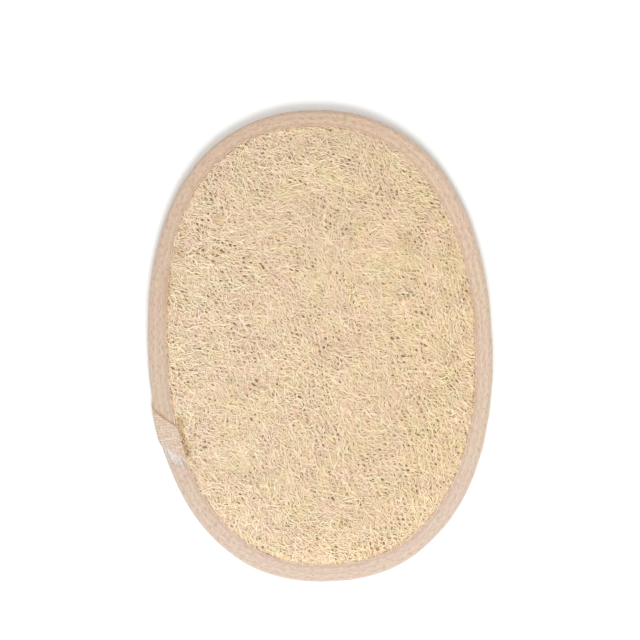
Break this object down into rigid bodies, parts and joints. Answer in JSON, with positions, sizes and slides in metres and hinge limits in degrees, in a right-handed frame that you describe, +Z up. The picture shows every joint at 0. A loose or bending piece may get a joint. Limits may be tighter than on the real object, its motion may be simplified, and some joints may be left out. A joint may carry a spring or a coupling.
{
  "type": "oval loofah bath pad",
  "caption": "Oval bath pad for scrubbing: a pressed natural loofah mat on a cotton terry back, bound round its edge with folded cotton tape and a row of stitches.",
  "frame": {"origin": "middle of the flat underside that the pad rests on", "axes": "+Y along the pad's length, +Z up through the loofah face, +X across the pad"},
  "size_m": [0.1386, 0.19, 0.0124],
  "materials": {
    "loofah_fibre": "dry matt plant fibre",
    "cotton_terry": "soft looped pile",
    "cotton_tape": "matt twill weave",
    "cotton_thread": "matt spun thread"
  },
  "bodies": {
    "root": {"loofah_mat": "loofah_fibre", "terry_back": "cotton_terry", "edge_binding": "cotton_tape", "front_stitching": "cotton_thread", "back_stitching": "cotton_thread"}
  },
  "joints": []
}
